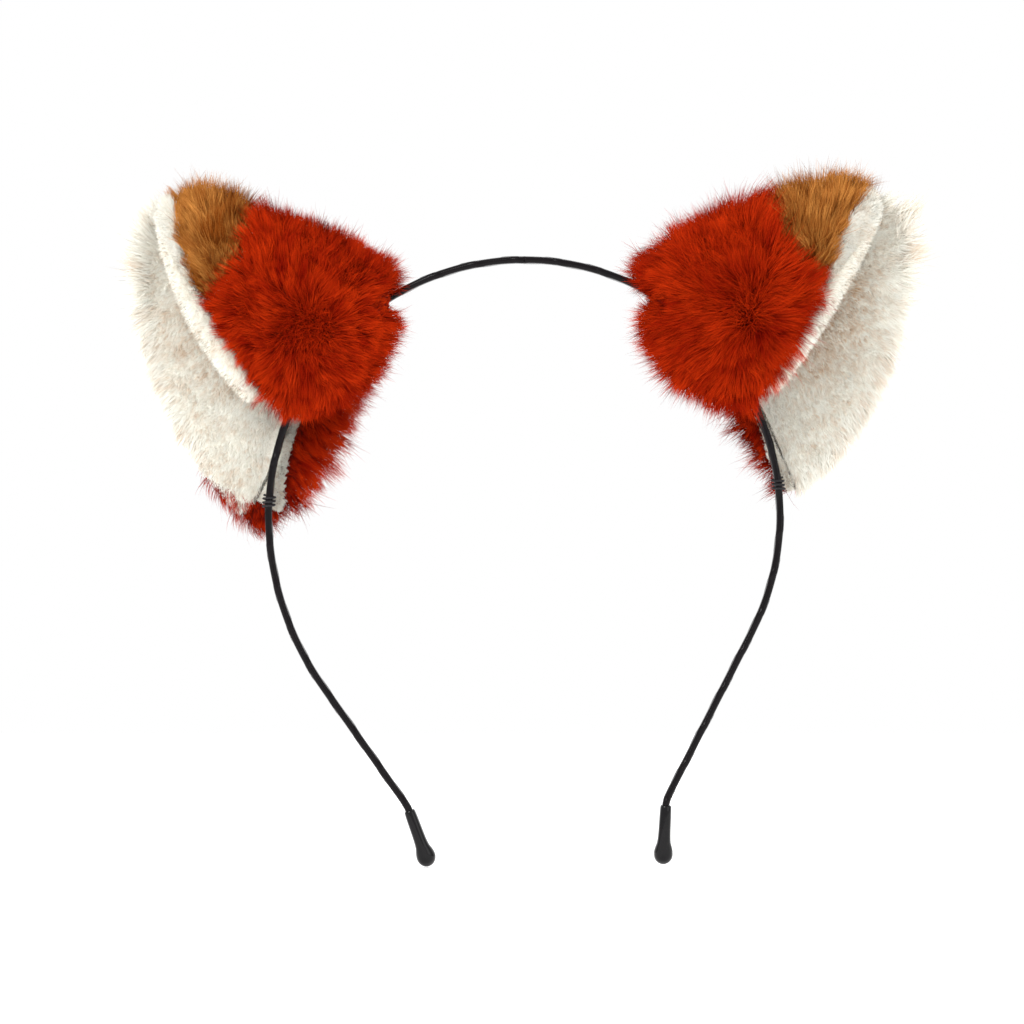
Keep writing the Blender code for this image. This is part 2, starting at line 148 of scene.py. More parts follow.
# ---------------------------------------------------------------- spring strip
# The band's core is one narrow strip of tempered steel, rolled round the crown.
# The ribbon hides it all, so it only keeps a drawn, faintly scratched finish.

def texture_on_piece(shader, kind, **settings):
    """A texture node that is fixed to the piece itself."""
    tree = shader.id_data
    texture = tree.nodes.new(kind)
    for socket, value in settings.items():
        texture.inputs[socket].default_value = value
    place = tree.nodes.new("ShaderNodeTexCoord")
    tree.links.new(place.outputs["Object"], texture.inputs["Vector"])
    return texture


def tint(shader, texture, dark, light, dark_at=0.0, light_at=1.0):
    """Colour a surface between two tones by a texture."""
    tree = shader.id_data
    ramp = tree.nodes.new("ShaderNodeValToRGB")
    dark_stop, light_stop = ramp.color_ramp.elements
    dark_stop.color, dark_stop.position = (*dark, 1), dark_at
    light_stop.color, light_stop.position = (*light, 1), light_at
    tree.links.new(texture.outputs["Fac"], ramp.inputs["Fac"])
    tree.links.new(ramp.outputs["Color"], shader.inputs["Base Color"])


def emboss(shader, texture, strength, depth):
    """Raise a texture a little out of a surface."""
    tree = shader.id_data
    bump = tree.nodes.new("ShaderNodeBump")
    bump.inputs["Strength"].default_value = strength
    bump.inputs["Distance"].default_value = depth
    tree.links.new(texture.outputs["Fac"], bump.inputs["Height"])
    tree.links.new(bump.outputs["Normal"], shader.inputs["Normal"])


def refinish(node, material):
    """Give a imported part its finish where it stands."""
    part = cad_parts[node]
    part.data.materials.clear()
    part.data.materials.append(material)


steel, steel_shader = new_material("drawn_spring_steel", 0.35)
steel_shader.inputs["Metallic"].default_value = 1.0
steel_grain = texture_on_piece(steel_shader, "ShaderNodeTexNoise", Scale=900, Detail=4)
tint(steel_shader, steel_grain, (0.26, 0.27, 0.29), (0.50, 0.51, 0.53))
emboss(steel_shader, steel_grain, 0.15, 0.02 * MM)
for stretch in ("crown", "left", "right"):
    refinish("spring_strip_" + stretch, steel)


# ---------------------------------------------------------------- ribbon wrap
# Narrow black satin ribbon is wound over the strip from cap to cap. Each turn
# overlaps the last, which leaves a slanting ridge every eleven millimetres.

strip_thickness = 0.8 * MM
strip_tolerance = 0.02 * MM
turn_centre_z = lowest.z * 0.54
straight_step = 6.0 * MM
ribbon_half_thickness = 0.93 * MM
ribbon_half_width = 3.22 * MM
ribbon_pitch = 11.0 * MM
ribbon_layer = 0.17 * MM
ribbon_slack = 0.10 * MM
ribbon_step = 0.35 * MM
ribbon_round = 30
ribbon_overlap = 0.16
ribbon_edge = 0.08


def node_points(node):
    """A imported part's vertices as rows of x, y, z."""
    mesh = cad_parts[node].data
    points = np.empty(len(mesh.vertices) * 3)
    mesh.vertices.foreach_get("co", points)
    return points.reshape(-1, 3)


def strip_stations():
    """The strip's middle at each of its cross-sections, from the left cap to the right.

    Two front corners that are one thickness apart make a cross-section. Rounding
    lets the corners that neighbouring parts share fall together.
    """
    points = np.vstack([node_points("spring_strip_" + p) for p in ("left", "crown", "right")])
    points = np.unique(np.round(points[points[:, 1] < 0], 6), axis=0)
    across = np.linalg.norm(points[:, None] - points[None], axis=2)
    first, second = np.nonzero(np.abs(across - strip_thickness) < strip_tolerance)
    middles = (points[first] + points[second]) / 2
    middles = np.unique(np.round(middles[first < second], 5), axis=0)
    middles[:, 1] = 0.0
    turn = np.arctan2(middles[:, 0], middles[:, 2] - turn_centre_z)
    middles = middles[np.argsort(turn)]
    filled = [middles[0]]
    for start, end in zip(middles[:-1], middles[1:]):
        parts = max(1, round(np.linalg.norm(end - start) / straight_step))
        filled += [start + (end - start) * k / parts for k in range(1, parts + 1)]
    return np.array(filled)


def smooth_course(stations, step):
    """Evenly spaced points on a smooth curve through the stations, with their directions."""
    run = np.concatenate([[0], np.cumsum(np.linalg.norm(np.diff(stations, axis=0), axis=1))])
    slopes = np.gradient(stations, run, axis=0)
    places = np.linspace(0, run[-1], int(run[-1] / step))
    spans = np.clip(np.searchsorted(run, places, side="right") - 1, 0, len(run) - 2)
    length = (run[spans + 1] - run[spans])[:, None]
    t = (places - run[spans])[:, None] / length
    points = ((2 * t**3 - 3 * t**2 + 1) * stations[spans]
              + (t**3 - 2 * t**2 + t) * length * slopes[spans]
              + (3 * t**2 - 2 * t**3) * stations[spans + 1]
              + (t**3 - t**2) * length * slopes[spans + 1])
    ways = np.gradient(points, places, axis=0)
    ways /= np.linalg.norm(ways, axis=1)[:, None]
    return points, ways, places


def flat_ring(half_thickness, half_width, count):
    """A round-ended flat outline as (thickness, width) pairs, evenly spaced."""
    flat = half_width - half_thickness
    bend = math.pi * half_thickness
    around = 4 * flat + 2 * bend
    ring = []
    for k in range(count):
        reach = around * k / count
        if reach < 2 * flat:
            ring.append((half_thickness, reach - flat))
        elif reach < 2 * flat + bend:
            a = (reach - 2 * flat) / half_thickness
            ring.append((half_thickness * math.cos(a), flat + half_thickness * math.sin(a)))
        elif reach < 4 * flat + bend:
            ring.append((-half_thickness, flat - (reach - 2 * flat - bend)))
        else:
            a = (reach - 4 * flat - bend) / half_thickness
            ring.append((-half_thickness * math.cos(a), -flat - half_thickness * math.sin(a)))
    return np.array(ring)


def smooth_rise(low, high, value):
    """0 below low and 1 above high, with a smooth slope between."""
    t = np.clip((value - low) / (high - low), 0, 1)
    return t * t * (3 - 2 * t)


def wind_ribbon(name, points, ways, places):
    """Ribbon wound round a stretch of the strip, its turns overlapping."""
    ring = flat_ring(ribbon_half_thickness, ribbon_half_width, ribbon_round)
    share = np.arange(ribbon_round) / ribbon_round
    outward = np.stack([-ways[:, 2], np.zeros(len(ways)), ways[:, 0]], axis=1)
    turn = (places[:, None] / ribbon_pitch + share[None]) % 1.0
    stand = ribbon_layer * (1 - smooth_rise(ribbon_overlap, ribbon_overlap + ribbon_edge, turn))
    stand = stand - ribbon_slack * np.sin(np.pi * turn) ** 2
    grow = 1 + stand / np.linalg.norm(ring, axis=1)[None]
    body = (points[:, None] + outward[:, None] * (ring[None, :, 0] * grow)[..., None]
            + np.array([0.0, 1.0, 0.0]) * (ring[None, :, 1] * grow)[..., None])
    rows = len(points)
    faces = []
    for i in range(rows - 1):
        for k in range(ribbon_round):
            a, b = i * ribbon_round + k, i * ribbon_round + (k + 1) % ribbon_round
            faces.append((a, a + ribbon_round, b + ribbon_round, b))
    faces.append(tuple(range(ribbon_round)))
    faces.append(tuple(reversed(range((rows - 1) * ribbon_round, rows * ribbon_round))))
    piece = add_mesh(name, body.reshape(-1, 3), faces, satin)
    for face in piece.data.polygons:
        face.use_smooth = True
    return piece


satin, satin_shader = new_material("black_satin", 0.24, 0.13)
satin_patch = texture_on_piece(satin_shader, "ShaderNodeTexNoise", Scale=260, Detail=3)
satin_rib = texture_on_piece(satin_shader, "ShaderNodeTexWave", Scale=700, Distortion=1.5)
satin_rib.bands_direction = "X"
tint(satin_shader, satin_patch, (0.001, 0.0005, 0.001), (0.005, 0.003, 0.004))
emboss(satin_shader, satin_rib, 0.25, 0.05 * MM)

band_points, band_ways, band_places = smooth_course(strip_stations(), ribbon_step)
for side, sign in SIDES.items():
    own = band_points[:, 0] * sign > -ribbon_step / 2
    own &= band_points[:, 2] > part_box("ribbon_wrap_" + side)[0].z
    ribbon = wind_ribbon("satin_ribbon_" + side,
                         band_points[own], band_ways[own], band_places[own])
    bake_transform(ribbon)
    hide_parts("ribbon_wrap_" + side, *(["ribbon_wrap_crown"] if sign < 0 else []))


# ---------------------------------------------------------------- end caps
# Each end of the strip is turned out and pushed into a black rubber cap: an
# oblique mouth, a narrow neck and a pear-shaped bulb, glossy from the mould.

weld_gap = 0.002 * MM


def rounded_copy(node, name, material, levels=2):
    """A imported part's shape as a smooth closed piece of its own."""
    work = bmesh.new()
    work.from_mesh(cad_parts[node].data)
    bmesh.ops.remove_doubles(work, verts=work.verts, dist=weld_gap)
    bmesh.ops.join_triangles(work, faces=work.faces, angle_face_threshold=math.radians(50),
                             angle_shape_threshold=math.radians(70))
    vertices = [tuple(v.co) for v in work.verts]
    faces = [[v.index for v in f.verts] for f in work.faces]
    work.free()
    piece = add_mesh(name, vertices, faces, material)
    rounding = piece.modifiers.new("rounding", "SUBSURF")
    rounding.levels = rounding.render_levels = levels
    settled = piece.evaluated_get(bpy.context.evaluated_depsgraph_get())
    settled = bpy.data.meshes.new_from_object(settled)
    piece.modifiers.clear()
    piece.data = settled
    for face in settled.polygons:
        face.use_smooth = True
    return piece


rubber, rubber_shader = new_material("glossy_black_rubber", 0.10, 0.22)
rubber_cloud = texture_on_piece(rubber_shader, "ShaderNodeTexNoise", Scale=420, Detail=5)
tint(rubber_shader, rubber_cloud, (0.001, 0.001, 0.001), (0.005, 0.004, 0.005))
emboss(rubber_shader, rubber_cloud, 0.2, 0.04 * MM)
for side in SIDES:
    cap = rounded_copy("end_cap_" + side, "rubber_cap_" + side, rubber)
    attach(cap, side + "_arm")
    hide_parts("end_cap_" + side)


# ---------------------------------------------------------------- stitches
# The ends of each ear's fold are whipped to the band with a few turns of dark
# waxed thread, and the ear turns a little about them.

def thread_finish(name, dark, light):
    """Twisted two-ply sewing thread."""
    material, shader = new_material(name, 0.6, 0.3)
    ply = texture_on_piece(shader, "ShaderNodeTexWave", Scale=900, Distortion=2.0)
    ply.bands_direction = "DIAGONAL"
    tint(shader, ply, dark, light)
    emboss(shader, ply, 0.5, 0.05 * MM)
    return material


waxed_thread = thread_finish("dark_waxed_thread", (0.004, 0.003, 0.004), (0.016, 0.014, 0.016))
seam_thread = thread_finish("brown_seam_thread", (0.08, 0.02, 0.008), (0.22, 0.07, 0.02))
for side in SIDES:
    for end in ("upper", "lower"):
        refinish("ear_stitch_" + side + "_" + end, waxed_thread)
    refinish("tip_seam_" + side, seam_thread)


# ---------------------------------------------------------------- padding
# A shaped pad of white polyester wadding fills each ear between its lining and
# its fur, thick down the middle of the front flap and thin at the edges.

wadding, wadding_shader = new_material("white_wadding", 0.95, 0.2)
wadding_lumps = texture_on_piece(wadding_shader, "ShaderNodeTexNoise", Scale=500, Detail=6)
tint(wadding_shader, wadding_lumps, (0.62, 0.62, 0.60), (0.86, 0.86, 0.84))
emboss(wadding_shader, wadding_lumps, 0.6, 0.3 * MM)
for side in SIDES:
    pad = rounded_copy("ear_padding_" + side, "wadding_" + side, wadding)
    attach(pad, side + "_ear")
    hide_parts("ear_padding_" + side)


# ---------------------------------------------------------------- ear lining
# The hollow of each fold and its rolled front lip are cream plush: a knitted
# backing with a short, dense pile combed from the fold out to the free edges.

in_front_plane = np.array([1.0, 0.0, 1.0])
cover_reach = 1.3 * MM
lining_fibres = 76000
lining_length = 2.0 * MM
lining_width = 0.15 * MM
edge_length = 5.6 * MM
tip_length = 11.0 * MM
edge_near, edge_far = 0.5 * MM, 4 * MM
fringe_fade = 0.08
crease_shade_fade = 7 * MM
band_depth = 7 * MM
near_band, off_band = 3 * MM, 7 * MM
tip_from, tip_full = 0.75, 0.98
crease_shade_low, crease_shade_high = (0.18, 0.4), (0.62, 0.85)
lining_swirl, lining_sway = 9 * MM, 0.22
cream_lifts = (0.62, 0.35)
cream_lock, cream_pull = 10, 0.2
cream_strands = (0.93, 0.1, 7 * MM, 0.08)


class EarFrame:
    """One ear's own directions, and where its maker changes the cloth and the comb.

    Places are pairs: a share of the base's length along it, then a share of the
    ear's height out from it. lip: three places the rolled front edge runs by.
    rust_centre, brown_root and fold_root: where each pile is combed out from.
    lip_widths: how wide the cream lip is in millimetres at shares of the height.
    facing: how far in from the band the cream hem shows, and hem_end the share of
    the base where it stops. fringe: the share where cream edge hairs give way to
    rust. painted_hollow_shade: how much painted shade darkens the hollow behind the
    lip. overlap: how far rust hairs reach over the tip's seam. lobe: how much longer
    the rust hairs are that stand off the back flap towards the head.
    """

    def __init__(self, side, lip, rust_centre, brown_root, fold_root, lip_widths, facing, fringe,
                 painted_hollow_shade, hem_end, overlap, lobe):
        self.upper = self.middle_of("ear_stitch_" + side + "_upper")
        lower = self.middle_of("ear_stitch_" + side + "_lower")
        self.base = np.linalg.norm(lower - self.upper)
        self.along = (lower - self.upper) / self.base
        self.out = np.array([-self.along[2], 0, self.along[0]]) * SIDES[side]
        cloth_points = node_points("ear_lining_" + side)
        self.height = float(((cloth_points - self.upper) @ self.out).max())
        self.lip = self.curve(lip)
        self.rust_centre = self.place(*rust_centre)
        self.brown_root = self.place(*brown_root)
        self.fold_root = self.place(*fold_root)
        self.lip_widths = lip_widths
        self.facing = facing
        self.fringe = fringe
        self.painted_hollow_shade = painted_hollow_shade
        self.hem_end = hem_end
        self.overlap = overlap
        self.lobe = lobe

    @staticmethod
    def middle_of(node):
        """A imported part's middle, put on the band's own plane."""
        low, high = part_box(node)
        middle = (low + high) / 2
        return np.array([middle.x, 0.0, middle.z])

    def place(self, along, out):
        return self.upper + self.along * (along * self.base) + self.out * (out * self.height)

    def curve(self, points):
        """Points on a smooth bend that starts and ends at the outer two places."""
        a, b, c = (self.place(*p) for p in points)
        t = np.linspace(0, 1, 40)[:, None]
        return (1 - t) ** 2 * a + 2 * t * (1 - t) * b + t**2 * c

    def share_along(self, points):
        return (points - self.upper) @ self.along / self.base

    def share_out(self, points):
        return (points - self.upper) @ self.out / self.height

    def past_band(self, points):
        """How far in from the band towards the middle of the head, and the gap to the band."""
        flat = (points[:, None] - band_points[None, ::6]) * in_front_plane
        nearest = flat[np.arange(len(points)), np.linalg.norm(flat, axis=2).argmin(axis=1)]
        return -nearest @ self.out, np.linalg.norm(nearest, axis=1)

    def gap_to_lip(self, points):
        flat = points * in_front_plane
        return np.linalg.norm(flat[:, None] - self.lip[None], axis=2).min(axis=1)

    def on_lip(self, points):
        """Whether points lie on the cream lip."""
        shares, widths = zip(*self.lip_widths)
        width = np.interp(self.share_out(points), shares, widths) * MM
        return self.gap_to_lip(points) < width


ears = {
    "left": EarFrame(
        "left", lip=((0.68, 0.17), (0.60, 0.68), (0.17, 1.0)),
        rust_centre=(0.295, 0.19), brown_root=(0.40, 0.50), fold_root=(-0.25, 0.35),
        lip_widths=((0.3, 4.0), (0.39, 4.6), (0.515, 7.0), (1.0, 7.6)),
        facing=3.2 * MM, fringe=1.0, painted_hollow_shade=0.4, hem_end=1.02, overlap=0.3, lobe=1.4),
    "right": EarFrame(
        "right", lip=((0.65, 0.14), (0.48, 0.64), (0.19, 1.0)),
        rust_centre=(0.27, 0.26), brown_root=(0.36, 0.50), fold_root=(-0.25, 0.35),
        lip_widths=((0.50, 0.0), (0.54, 4.3), (0.60, 8.2), (0.67, 11.0), (1.0, 9.0)),
        facing=0.8 * MM, fringe=1.3, painted_hollow_shade=1.0, hem_end=1.12, overlap=1.0, lobe=1.05),
}


def open_side(piece, covers, reach):
    """Which faces of a layer have no other layer lying against them."""
    vertices, faces = [], []
    for node in covers:
        start = len(vertices)
        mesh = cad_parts[node].data
        vertices += [v.co.copy() for v in mesh.vertices]
        faces += [[start + i for i in p.vertices] for p in mesh.polygons]
    cover = BVHTree.FromPolygons(vertices, faces)
    free = []
    for face in piece.data.polygons:
        start = face.center + face.normal * 0.02 * MM
        free.append(cover.ray_cast(start, face.normal, reach)[0] is None)
    return np.array(free)


def scatter_roots(piece, chosen, count, rng):
    """Random points over the chosen faces, with the cloth's normals there."""
    mesh = piece.data
    mesh.calc_loop_triangles()
    total = len(mesh.loop_triangles)
    corners = np.empty(total * 3, dtype=np.int32)
    mesh.loop_triangles.foreach_get("vertices", corners)
    owner = np.empty(total, dtype=np.int32)
    mesh.loop_triangles.foreach_get("polygon_index", owner)
    places = np.empty(len(mesh.vertices) * 3)
    mesh.vertices.foreach_get("co", places)
    normals = np.empty(len(mesh.vertices) * 3)
    mesh.vertices.foreach_get("normal", normals)
    places, normals = places.reshape(-1, 3), normals.reshape(-1, 3)
    corners = corners.reshape(-1, 3)[chosen[owner]]
    a, b, c = (places[corners[:, i]] for i in range(3))
    area = np.linalg.norm(np.cross(b - a, c - a), axis=1)
    pick = rng.choice(len(area), count, p=area / area.sum())
    r, s = rng.random(count), rng.random(count)
    fold = r + s > 1
    r[fold], s[fold] = 1 - r[fold], 1 - s[fold]
    weights = np.stack([1 - r - s, r, s], axis=1)[..., None]
    roots = (places[corners[pick]] * weights).sum(axis=1)
    ups = (normals[corners[pick]] * weights).sum(axis=1)
    return roots, ups / np.linalg.norm(ups, axis=1)[:, None]


def unit(vectors):
    return vectors / np.maximum(np.linalg.norm(vectors, axis=1), 1e-9)[:, None]


def soft_noise(points, size, rng, waves=7):
    """A smooth random value from -1 to 1 over space, a few waves added up."""
    total = np.zeros(len(points))
    for _ in range(waves):
        way = rng.normal(size=3)
        way *= 2 * math.pi / (size * np.linalg.norm(way)) * rng.uniform(0.6, 1.5)
        total += np.sin(points @ way + rng.uniform(0, 2 * math.pi))
    return total / math.sqrt(waves / 2) / 1.6


def wander(points, size, rng):
    """A smooth random sideways push on the comb."""
    return np.stack([soft_noise(points, size, rng) for _ in range(3)], axis=1)


def nearest_of(points, places):
    """For each point, which of the places is nearest and how far off it is."""
    tree = KDTree(len(places))
    for i, place in enumerate(places):
        tree.insert(place, i)
    tree.balance()
    found = [tree.find(p) for p in points]
    return np.array([f[1] for f in found]), np.array([f[2] for f in found])


def rows_of(levels):
    """Arrays with one row a fibre, laid end to end in the order of the fibres."""
    return np.stack(levels, axis=1).reshape(-1, *levels[0].shape[1:])


tone_columns = 64
root_depth = 0.15 * MM
stray_laid, stray_upright, stray_growth = 0.14, 0.3, 1.15
guard_extra, guard_loose = 1.25, 0.25
most_lean = 0.95
lock_tone_spread = 0.16
roll_spread = 0.5
tip_taper = 0.9


def grow_pile(name, material, roots, ups, comb, length, width, lifts, lock_count, lock_pull, tone,
              rng, ragged=0.3, guard_share=0.0, flattest=1.0):
    """Tapering fibres from the roots, drawn together into locks towards their tips.

    comb is the way they lie, and its length how flat they lie, up to flattest. lifts
    says how upright each joint of a fibre stands. lock_pull is how far a fibre is drawn
    to its lock's middle, ragged how much the locks differ in length, and guard_share
    the share of longer, looser guard hairs.
    """
    count, joints = len(roots), len(lifts)
    keepers = rng.choice(count, lock_count, replace=False)
    lock = keepers[nearest_of(roots, roots[keepers])[0]]
    length = length * rng.uniform(1 - ragged, 1 + ragged * 0.6, count)[lock]
    comb = comb - ups * (comb * ups).sum(axis=1)[:, None]
    laid = np.clip(np.linalg.norm(comb, axis=1), 0, flattest)[:, None]
    comb = unit(comb)
    level = [roots - ups * root_depth]
    stray = rng.normal(size=(count, 3))
    stray = stray * (stray_laid + stray_upright * np.maximum(1 - laid, 0))
    guard = rng.random(count) < guard_share
    length = np.where(guard, length * guard_extra, length)
    for lift in lifts:
        lean = np.minimum((1 - lift) * laid, most_lean)
        heading = unit(ups * (1 - lean) + comb * lean + stray)
        level.append(level[-1] + heading * (length / joints)[:, None])
        stray = stray * stray_growth
    loose = rng.uniform(0.4, 1.0, count) * np.where(guard, guard_loose, 1.0)
    loose = loose * np.minimum(laid[:, 0], 1)
    tone = tone + (rng.normal(size=count) * lock_tone_spread)[lock]
    for k in range(1, joints + 1):
        pull = (lock_pull * (k / joints) ** 1.3 * loose)[:, None]
        level[k] = level[k] * (1 - pull) + level[k][lock] * pull
    roll = rng.normal(size=count) * roll_spread
    vertices, normals, across_at, reach_at = [], [], [], []
    for k in range(joints + 1):
        ahead = unit(level[min(k + 1, joints)] - level[max(k - 1, 0)])
        face_up = unit(ups - ahead * (ups * ahead).sum(axis=1)[:, None] * 0.85)
        side_way = unit(np.cross(ahead, face_up))
        side_way = unit(side_way * np.cos(roll)[:, None]
                        + np.cross(ahead, side_way) * np.sin(roll)[:, None])
        shade = unit(face_up + side_way * np.sin(roll)[:, None] * 0.5)
        taper = 1 - (k / joints) ** 1.6 * tip_taper
        for edge in (-1, 1) if k < joints else (0,):
            vertices.append(level[k] + side_way * (edge * width * taper / 2)[:, None])
            normals.append(shade)
            across_at.append(np.full(count, 0.5 + 0.35 * edge))
            reach_at.append(np.full(count, k / joints))
    return fibre_mesh(name, material, joints, rows_of(vertices), rows_of(normals),
                      rows_of(across_at), rows_of(reach_at), tone)


def fibre_mesh(name, material, joints, vertices, normals, across_at, reach_at, tone):
    """One piece from every fibre: a strip of four-sided faces that ends in a triangle."""
    count, per = len(tone), 2 * joints + 1
    pattern = []
    for k in range(joints - 1):
        pattern += [2 * k, 2 * k + 1, 2 * k + 3, 2 * k + 2]
    pattern += [2 * joints - 2, 2 * joints - 1, 2 * joints]
    starts = np.arange(count)[:, None] * per
    loops = (starts + np.array(pattern)).ravel().astype(np.int32)
    sizes = np.array([4] * (joints - 1) + [3])
    first = np.concatenate([[0], np.cumsum(np.tile(sizes, count))])[:-1].astype(np.int32)
    mesh = bpy.data.meshes.new(name)
    mesh.vertices.add(len(vertices))
    mesh.vertices.foreach_set("co", vertices.astype(np.float32).ravel())
    mesh.loops.add(len(loops))
    mesh.loops.foreach_set("vertex_index", loops)
    mesh.polygons.add(len(first))
    mesh.polygons.foreach_set("loop_start", first)
    mesh.update(calc_edges=True)
    mesh.polygons.foreach_set("use_smooth", np.ones(len(first), dtype=bool))
    tone = (np.floor(np.clip(tone, 0, 0.999) * tone_columns) + 0.5) / tone_columns
    tone_at = np.repeat(tone, per)
    for label, values in (("fibre_tone", tone_at), ("fibre_reach", reach_at)):
        held = mesh.attributes.new(label, "FLOAT", "POINT")
        held.data.foreach_set("value", values.astype(np.float32))
    layout = mesh.uv_layers.new(name="OFBake")
    u = tone_at + (across_at - 0.5) / tone_columns
    v = 0.02 + 0.96 * reach_at
    spread = np.stack([u[loops], v[loops]], axis=1)
    layout.data.foreach_set("uv", spread.astype(np.float32).ravel())
    mesh.materials.append(material)
    mesh.normals_split_custom_set_from_vertices(normals.astype(np.float32))
    piece = bpy.data.objects.new(name, mesh)
    bpy.context.scene.collection.objects.link(piece)
    return piece


def pile_finish(name, dark_root, dark_tip, light_root, light_tip, roughness=0.7, gloss=0.04):
    """Fibre colour from root to tip, between a dark and a light strand."""
    material, shader = new_material(name, roughness, gloss)
    tree = material.node_tree
    reach, tone = (tree.nodes.new("ShaderNodeAttribute") for _ in range(2))
    reach.attribute_name, tone.attribute_name = "fibre_reach", "fibre_tone"
    blend = tree.nodes.new("ShaderNodeMix")
    blend.data_type = "RGBA"
    colour_sockets = [i for i in blend.inputs if i.type == "RGBA"]
    strands = ((dark_root, dark_tip), (light_root, light_tip))
    for socket, (root, tip) in zip(colour_sockets, strands):
        ramp = tree.nodes.new("ShaderNodeValToRGB")
        root_stop, tip_stop = ramp.color_ramp.elements
        root_stop.color, root_stop.position = (*root, 1), 0.05
        tip_stop.color, tip_stop.position = (*tip, 1), 0.9
        tree.links.new(reach.outputs["Fac"], ramp.inputs["Fac"])
        tree.links.new(ramp.outputs["Color"], socket)
    tree.links.new(tone.outputs["Fac"], blend.inputs[0])
    mixed = next(o for o in blend.outputs if o.type == "RGBA")
    tree.links.new(mixed, shader.inputs["Base Color"])
    return material


def backing_finish(name, dark, light):
    """The cloth under a pile: close, uneven and a little darker than the fibres."""
    material, shader = new_material(name, 0.9, 0.15)
    nap = texture_on_piece(shader, "ShaderNodeTexNoise", Scale=700, Detail=5)
    tint(shader, nap, dark, light, 0.3, 0.7)
    emboss(shader, nap, 0.6, 0.3 * MM)
    return material


def dress(piece, side):
    """Let a piece turn with its ear."""
    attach(piece, side + "_ear")


def edge_places(cloth, heart):
    """Middles of the faces round a layer's free edge, which look away from its heart."""
    found = []
    for face in cloth.data.polygons:
        away = Vector((face.center.x - heart[0], 0, face.center.z - heart[2])).normalized()
        if face.normal.dot(away) > 0.6:
            found.append(face.center)
    return found


def strand_tones(points, middle, mottle, patch, spread, rng):
    """Which strand each fibre is, from 0 for dark to 1 for light, in soft patches."""
    patches = mottle * soft_noise(points, patch, rng)
    return middle + patches + rng.normal(size=len(points)) * spread


cream_backing = backing_finish("cream_plush_backing", (0.68, 0.64, 0.55), (0.86, 0.84, 0.76))
# The cream pile's dark taupe strand is the colour of the painted shade in the hollow behind the
# lip.
cream_pile = pile_finish("cream_plush_pile", (0.38, 0.20, 0.09), (0.74, 0.47, 0.24),
                         (0.88, 0.86, 0.77), (0.97, 0.97, 0.91))
for side, ear in ears.items():
    rng = np.random.default_rng(11 + SIDES[side])
    cloth = rounded_copy("ear_lining_" + side, "lining_cloth_" + side, cream_backing)
    dress(cloth, side)
    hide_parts("ear_lining_" + side)
    covers = ["ear_padding_" + side, "ear_fur_" + side, "ear_tip_fur_" + side]
    free = open_side(cloth, covers, cover_reach)
    roots, ups = scatter_roots(cloth, free, lining_fibres, rng)
    comb = unit((roots - ear.fold_root) * in_front_plane)
    comb = comb + wander(roots, lining_swirl, rng) * lining_sway
    edge_gap = nearest_of(roots, edge_places(cloth, ear.fold_root))[1]
    height, behind = ear.share_out(roots), roots[:, 1] > 0
    before_fringe = 1 - smooth_rise(-fringe_fade, 0, ear.share_along(roots) - ear.fringe)
    at_edge = (1 - smooth_rise(edge_near, edge_far, edge_gap)) * behind * before_fringe
    at_tip = smooth_rise(tip_from, tip_full, height)
    comb = (comb - ear.along * (at_tip * 0.8)[:, None]) * (1 + at_edge * 0.8)[:, None]
    reach = edge_length + (tip_length - edge_length) * at_tip
    length = lining_length + (reach - lining_length) * at_edge
    length = length * rng.uniform(0.7, 1.1, lining_fibres)
    by_band = (np.abs(roots[:, 1]) < band_depth) & (ear.past_band(roots)[1] < near_band)
    length = length * np.where(by_band, 0.5, 1.0)
    # Painted shade: back-lining strands in the hollow behind the lip are darkened towards the
    # taupe strand, most next to the lip and fading away from it, between two heights of the ear.
    crease_painted_shade = smooth_rise(*crease_shade_low, height) * (1 - smooth_rise(*crease_shade_high, height)) * behind
    crease_painted_shade = crease_painted_shade * np.exp(-ear.gap_to_lip(roots) / crease_shade_fade) * ear.painted_hollow_shade
    tone = strand_tones(roots, *cream_strands, rng)
    tone = tone - crease_painted_shade * rng.uniform(0.2, 1.0, lining_fibres)
    pile = grow_pile("lining_pile_" + side, cream_pile, roots, ups, comb, length,
                     np.full(lining_fibres, lining_width), cream_lifts,
                     lining_fibres // cream_lock, cream_pull, tone, rng, ragged=0.15,
                     flattest=1.8)
    dress(pile, side)


# ---------------------------------------------------------------- rust fur
# The outside of each ear, nearly to its tip, is long rust-red faux fur, brushed
# outwards from the middle of each flap. The cream lining is turned over its edge
# at the rolled lip and along the band.

fur_cover_reach = 1.2 * MM
turned_fibres = 110000
turned_length = 3.0 * MM
turned_width = 0.17 * MM
turned_swirl, turned_sway, turned_pull = 7 * MM, 0.3, 0.3
fewest_turned = 200
rust_fibres = 38000
rust_length = {"left": 6.8 * MM, "right": 8.4 * MM}
rust_width = 0.15 * MM
rust_lifts = (0.66, 0.42, 0.25)
fur_pull = 0.8
rust_lock = 34
rust_swirl, rust_sway = 11 * MM, 0.42
rust_strands = (0.5, 0.22, 6 * MM, 0.18)
hanging = np.array([0, 0, -0.1])
parting_reach = 9 * MM
seam_near, seam_far = 2 * MM, 7 * MM
lip_clear, lip_fade = 6 * MM, 5 * MM
back_heart = (0.45, 0.3)
back_trim = 0.88
border_trim = 0.25


def fur_cloth(node, cloth_name, backing, side):
    """A fur layer's cloth, and which of its faces carry pile: not the cut edges."""
    cloth = rounded_copy(node, cloth_name, backing)
    free = open_side(cloth, ["ear_padding_" + side, "ear_lining_" + side], fur_cover_reach)
    along = Vector(ears[side].along)
    centres = np.array([f.center for f in cloth.data.polygons])
    free &= (np.array([f.normal.dot(along) < 0.6 for f in cloth.data.polygons])
             | (ears[side].share_along(centres) > ears[side].fringe))
    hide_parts(node)
    return cloth, free


